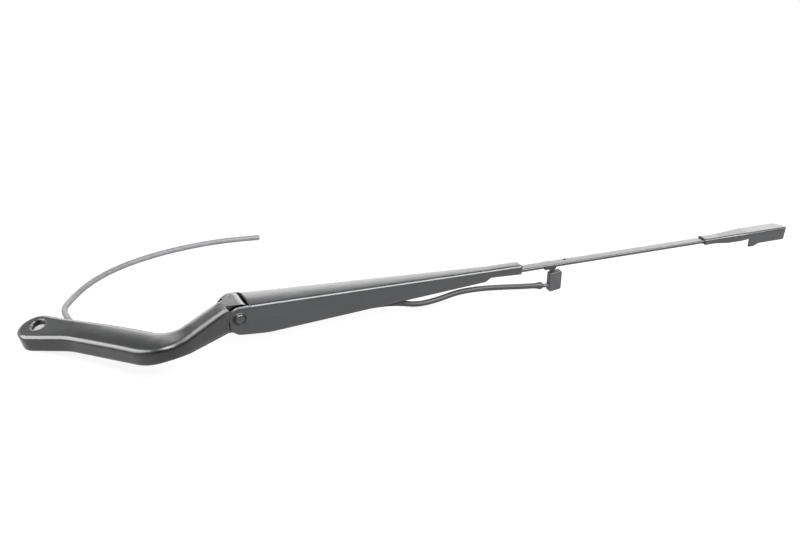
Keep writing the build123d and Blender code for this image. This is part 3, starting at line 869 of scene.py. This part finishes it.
# Washer hose: one length of black rubber tube, pushed on the nozzle's barb, laid loose in the channel,
# under the hinge and the head, and out over the far skirt to a free, square-cut end.
hose_points = [
    (0.4415, -0.0581, 0.0073),
    (0.4202, -0.0581, 0.0095),
    (0.3955, -0.0581, 0.0126),
    (0.3715, -0.0577, 0.0148),
    (0.3475, -0.0579, 0.0150),
    (0.3275, -0.0580, 0.0106),
    (0.3075, -0.0581, 0.0090),
    (0.2865, -0.0581, 0.0144),
    (0.2655, -0.0584, 0.0162),
    (0.2395, -0.0585, 0.0152),
    (0.2115, -0.0575, 0.0134),
    (0.1825, -0.0527, 0.0114),
    (0.1571, -0.0511, 0.0106),
    (0.1355, -0.0511, 0.0104),
    (0.1087, -0.0750, 0.02526),
    (0.09214, -0.0845, 0.02728),
    (0.07545, -0.0930, 0.02661),
    (0.05957, -0.0860, 0.02358),
    (0.04302, -0.0640, 0.01788),
    (0.02648, -0.0410, 0.01218),
    (0.02288, -0.0180, 0.01095),
    (0.0218, 0.0080, 0.0070),
    (0.0228, 0.0350, 0.0022),
    (0.0345, 0.0590, -0.0031),
    (0.0555, 0.0838, -0.0031),
    (0.0840, 0.1048, -0.0031),
    (0.1170, 0.1195, -0.0031),
    (0.1510, 0.1287, -0.0031),
    (0.1850, 0.1335, -0.0031),
    (0.2150, 0.1335, -0.0031),
    (0.2348, 0.1313, -0.0031),
]
hose_radius = 0.0025
hose_wall = 0.001
hose_line = bpy.data.curves.new("hose_line", "CURVE")
hose_line.dimensions = "3D"
hose_line.resolution_u = 8
spline = hose_line.splines.new("NURBS")
spline.points.add(len(hose_points) - 1)
for point, spot in zip(spline.points, hose_points):
    point.co = (*spot, 1.0)
spline.order_u = 3
spline.use_endpoint_u = True
washer_hose = bpy.data.objects.new("washer_hose", hose_line)
bpy.context.collection.objects.link(washer_hose)
bpy.context.view_layer.update()
centreline = bpy.data.meshes.new_from_object(washer_hose)
hose_path = [v.co.copy() for v in centreline.vertices]
hose_line.bevel_depth = hose_radius
hose_line.bevel_resolution = 4
bpy.ops.object.select_all(action="DESELECT")
washer_hose.select_set(True)
bpy.context.view_layer.objects.active = washer_hose
bpy.ops.object.convert(target="MESH")
wall = washer_hose.modifiers.new("wall", "SOLIDIFY")
wall.thickness = hose_wall
wall.offset = -1
bpy.ops.object.modifier_apply(modifier="wall")
bpy.ops.object.shade_smooth_by_angle(angle=math.radians(50))

# The tube's end is stretched over the barb, which swells it to a bulb.
hose_way = (hose_path[3] - hose_path[0]).normalized()
swell_profile = [(0, 0.0022), (0.0003, 0.0027), (0.0018, 0.0034), (0.0030, 0.00345)]
swell_profile += [(0.0045, 0.0031), (0.0090, 0.00255)]
swell = turned("hose_swell", 24, swell_profile)
settle(swell, aimed(hose_path[0], hose_way), 40)
# Extruded rubber: dull, with a cloudy grey bloom that the air draws out of it.
bloom_size = 0.006
rubber, rubber_out = start_material("black_epdm_rubber")
place = add_node(rubber, "ShaderNodeTexCoord")
bloom = add_node(
    rubber,
    "ShaderNodeTexNoise",
    {"Scale": 1 / bloom_size, "Detail": 3.0},
    {"Vector": place.outputs["Object"]},
)
shade = add_node(rubber, "ShaderNodeValToRGB", None, {"Fac": bloom.outputs["Fac"]})
shade.color_ramp.elements[0].position = 0.3
shade.color_ramp.elements[0].color = linear("#4a4a4c")
shade.color_ramp.elements[1].position = 0.7
shade.color_ramp.elements[1].color = linear("#565658")
# The rubber is darker towards the near side, along the stretch under the arm and the head, and lighter grey
# on the free tail.
spot = add_node(rubber, "ShaderNodeSeparateXYZ", None, {"Vector": place.outputs["Object"]})
far_side_share = add_node(
    rubber,
    "ShaderNodeMapRange",
    {"From Min": -0.05, "From Max": 0.02},
    {"Value": spot.outputs["Y"]},
)
rubber_colour = add_node(
    rubber,
    "ShaderNodeMix",
    {"A": linear("#1f1f21")},
    {"Factor": far_side_share.outputs["Result"], "B": shade.outputs["Color"]},
    data_type="RGBA",
)
matt = add_node(
    rubber, "ShaderNodeMapRange", {"To Min": 0.45, "To Max": 0.6}, {"Value": bloom.outputs["Fac"]}
)
shader = add_node(
    rubber,
    "ShaderNodeBsdfPrincipled",
    {"IOR": 1.5},
    {"Base Color": rubber_colour.outputs["Result"], "Roughness": matt.outputs["Result"]},
)
rubber.node_tree.links.new(shader.outputs["BSDF"], rubber_out.inputs["Surface"])
coat_piece(washer_hose, rubber)
coat_piece(swell, rubber)
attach(swell, "arm")
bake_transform(washer_hose)
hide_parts("hose_lead", "hose_tail")

# Floor, light and camera: a white sweep with a broad panel low behind the arm, one high on the left for
# the bright line along the head's rim, and a long softbox in front for the line along the channel's fold.
# The sweep glows for the camera, so that it stays white, and looks a little dimmer in the coat.
floor_z = cad_box[0][2]
glow_share = 0.86
coat_level = 0.88
camera_extra = 0.12
bpy.ops.object.select_all(action="DESELECT")
bpy.ops.mesh.primitive_plane_add(size=12, location=(0, 0, floor_z))
floor = bpy.context.object
floor.name = "floor"
white, white_out = start_material("white_floor")
rays = add_node(white, "ShaderNodeLightPath")
mirrored = add_node(
    white,
    "ShaderNodeMath",
    None,
    {0: rays.outputs["Is Glossy Ray"], 1: rays.outputs["Is Transmission Ray"]},
    operation="MAXIMUM",
)
share = add_node(
    white,
    "ShaderNodeMath",
    {1: glow_share},
    {0: rays.outputs["Is Camera Ray"], 2: mirrored.outputs[0]},
    operation="MULTIPLY_ADD",
)
level = add_node(
    white,
    "ShaderNodeMath",
    {1: camera_extra, 2: coat_level},
    {0: rays.outputs["Is Camera Ray"]},
    operation="MULTIPLY_ADD",
)
glow = add_node(white, "ShaderNodeEmission", {"Color": (1, 1, 1, 1)}, {"Strength": level.outputs[0]})
matte = add_node(white, "ShaderNodeBsdfDiffuse", {"Color": linear("#d4d4d4")})
mix = add_node(
    white,
    "ShaderNodeMixShader",
    None,
    {0: share.outputs[0], 1: matte.outputs["BSDF"], 2: glow.outputs["Emission"]},
)
white.node_tree.links.new(mix.outputs["Shader"], white_out.inputs["Surface"])
coat_piece(floor, white)

world = bpy.data.worlds.new("studio")
bpy.context.scene.world = world
world.use_nodes = True
backdrop = world.node_tree.nodes["Background"]
direction = add_node(world, "ShaderNodeTexCoord")
upward = add_node(world, "ShaderNodeSeparateXYZ", None, {"Vector": direction.outputs["Generated"]})
sky = add_node(world, "ShaderNodeValToRGB", None, {"Fac": upward.outputs["Z"]})
sky.color_ramp.elements[0].position = 0.2
sky.color_ramp.elements[0].color = (0.95, 0.95, 0.95, 1)
sky.color_ramp.elements[1].position = 0.45
sky.color_ramp.elements[1].color = (0.24, 0.24, 0.24, 1)
# The room is light low behind the arm, and dark overhead and in front of it.
room = add_node(
    world,
    "ShaderNodeMapRange",
    {"From Min": 0.15, "From Max": 0.55, "To Min": 0.1, "To Max": 1.0},
    {"Value": upward.outputs["Y"]},
)
# To the camera it is as white as the sweep.
sight = add_node(world, "ShaderNodeLightPath")
seen_sky = add_node(
    world,
    "ShaderNodeMix",
    {"B": (1, 1, 1, 1)},
    {"Factor": sight.outputs["Is Camera Ray"], "A": sky.outputs["Color"]},
    data_type="RGBA",
)
seen_room = add_node(
    world,
    "ShaderNodeMath",
    None,
    {0: room.outputs["Result"], 1: sight.outputs["Is Camera Ray"]},
    operation="MAXIMUM",
)
world.node_tree.links.new(seen_sky.outputs["Result"], backdrop.inputs["Color"])
world.node_tree.links.new(seen_room.outputs[0], backdrop.inputs["Strength"])


def add_panel(name, size, spot, target, watts):
    """A rectangular softbox at a spot, facing a target, that the camera doesn't see."""
    panel_data = bpy.data.lights.new(name, "AREA")
    panel_data.shape = "RECTANGLE"
    panel_data.size, panel_data.size_y = size
    panel_data.energy = watts
    panel = bpy.data.objects.new(name, panel_data)
    bpy.context.collection.objects.link(panel)
    facing = (Vector(target) - Vector(spot)).to_track_quat("-Z", "Y")
    panel.matrix_world = Matrix.Translation(spot) @ facing.to_matrix().to_4x4()
    panel.visible_camera = False
    return panel


rod_middle = (0.6, -0.05, 0.03)
limb_bend = (0.075, -0.09, 0.03)
limb_rise = (0.1, -0.07, 0.03)
add_panel("back_panel", (4.5, 1.35), (1.45, 2.0, 0.625), target=(0.3, 0.0, 0.0), watts=49)
add_panel("left_panel", (1.7, 1.7), (-1.575, 0.636, 1.234), target=(0.05, -0.02, 0.0), watts=84)
front_softbox = add_panel("front_softbox", (3.4, 1.2), (0.6, -1.0, 1.35), target=rod_middle, watts=165)
# The front one is flagged off from the casting.
# Two small ones light the casting's rim alone, at the bend and up the rise.
bend_softbox = add_panel("bend_softbox", (1.0, 1.0), (0.07, -0.1, 1.95), target=limb_bend, watts=58)
rim_softbox = add_panel("rim_softbox", (1.6, 0.8), (1.19, 0.37, 1.65), target=limb_rise, watts=31)
flags = [(front_softbox, "EXCLUDE"), (bend_softbox, "INCLUDE"), (rim_softbox, "INCLUDE")]
for softbox, state in flags:
    flagged = bpy.data.collections.new(softbox.name + "_flag")
    flagged.objects.link(node["arm_head"])
    flagged.collection_objects[0].light_linking.link_state = state
    softbox.light_linking.receiver_collection = flagged

camera_data = bpy.data.cameras.new("camera")
camera_data.lens = 50
camera_data.sensor_width = 36
camera_data.sensor_fit = "HORIZONTAL"
camera_data.clip_end = 50
camera = bpy.data.objects.new("camera", camera_data)
bpy.context.collection.objects.link(camera)
camera.location = (-0.1541, -0.7857, 0.4683)
camera.rotation_euler = [math.radians(a) for a in (63.613, -5.838, -28.238)]
bpy.context.scene.camera = camera
bpy.context.scene.view_settings.view_transform = "Standard"
